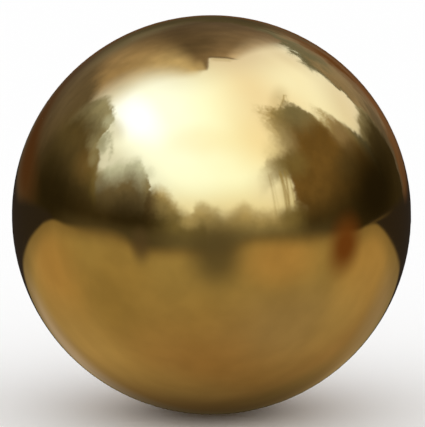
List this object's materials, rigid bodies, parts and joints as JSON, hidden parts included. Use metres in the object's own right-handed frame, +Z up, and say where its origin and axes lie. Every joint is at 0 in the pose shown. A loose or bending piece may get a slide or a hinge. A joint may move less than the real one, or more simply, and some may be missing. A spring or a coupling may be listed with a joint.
{
  "type": "gazing ball",
  "caption": "Hollow mirror-polished steel garden sphere in gold. It rests in a ring stand and reflects what is round it.",
  "frame": {"origin": "centre of the ball", "axes": "+Z up through the crown of the upper cup, with the weld between the two cups in the plane z = 0; X and Y are any two level directions, because the ball is the same all round"},
  "size_m": [0.2, 0.2, 0.2],
  "materials": {
    "gold_mirror": "mirror-polished, gold coated"
  },
  "bodies": {
    "root": {"ball": "gold_mirror"}
  },
  "joints": []
}
